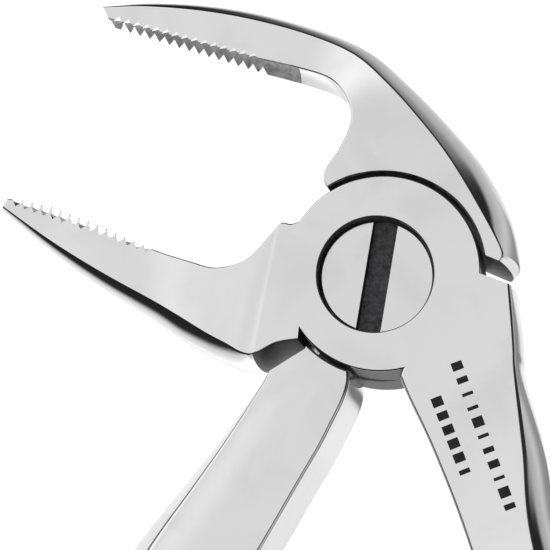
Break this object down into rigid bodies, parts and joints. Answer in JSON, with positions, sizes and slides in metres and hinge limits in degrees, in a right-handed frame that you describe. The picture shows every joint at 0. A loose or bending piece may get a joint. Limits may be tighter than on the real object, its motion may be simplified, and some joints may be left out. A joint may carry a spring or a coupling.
{
  "type": "extraction forceps",
  "caption": "Steel dental extraction forceps: two forged halves with curved serrated beaks and long handles, crossing in a lap joint on one slotted pivot screw.",
  "frame": {"origin": "on the pivot screw's axis, in the plane of the back face that the instrument lies on", "axes": "+Z along the pivot screw's axis towards its slotted head, -Y between the two handles towards their ends, -X towards the beak tips"},
  "size_m": [0.0977, 0.1505, 0.0092],
  "materials": {
    "rear_steel": "polished stainless steel, cross-knurled on the handle's outer flank",
    "front_steel": "polished stainless steel, cross-knurled on the handle's outer flank",
    "screw_steel": "polished head with a dark, rough slot floor"
  },
  "bodies": {
    "rear_body": {"rear_half": "rear_steel", "pivot_screw": "screw_steel"},
    "front_body": {"front_half": "front_steel"}
  },
  "joints": [
    {"name": "jaw_pivot", "type": "hinge", "parent": "rear_body", "child": "front_body", "pos_m": [0, 0, 0.0046], "axis": [0, 0, -1], "range_deg": [-6, 26]}
  ]
}
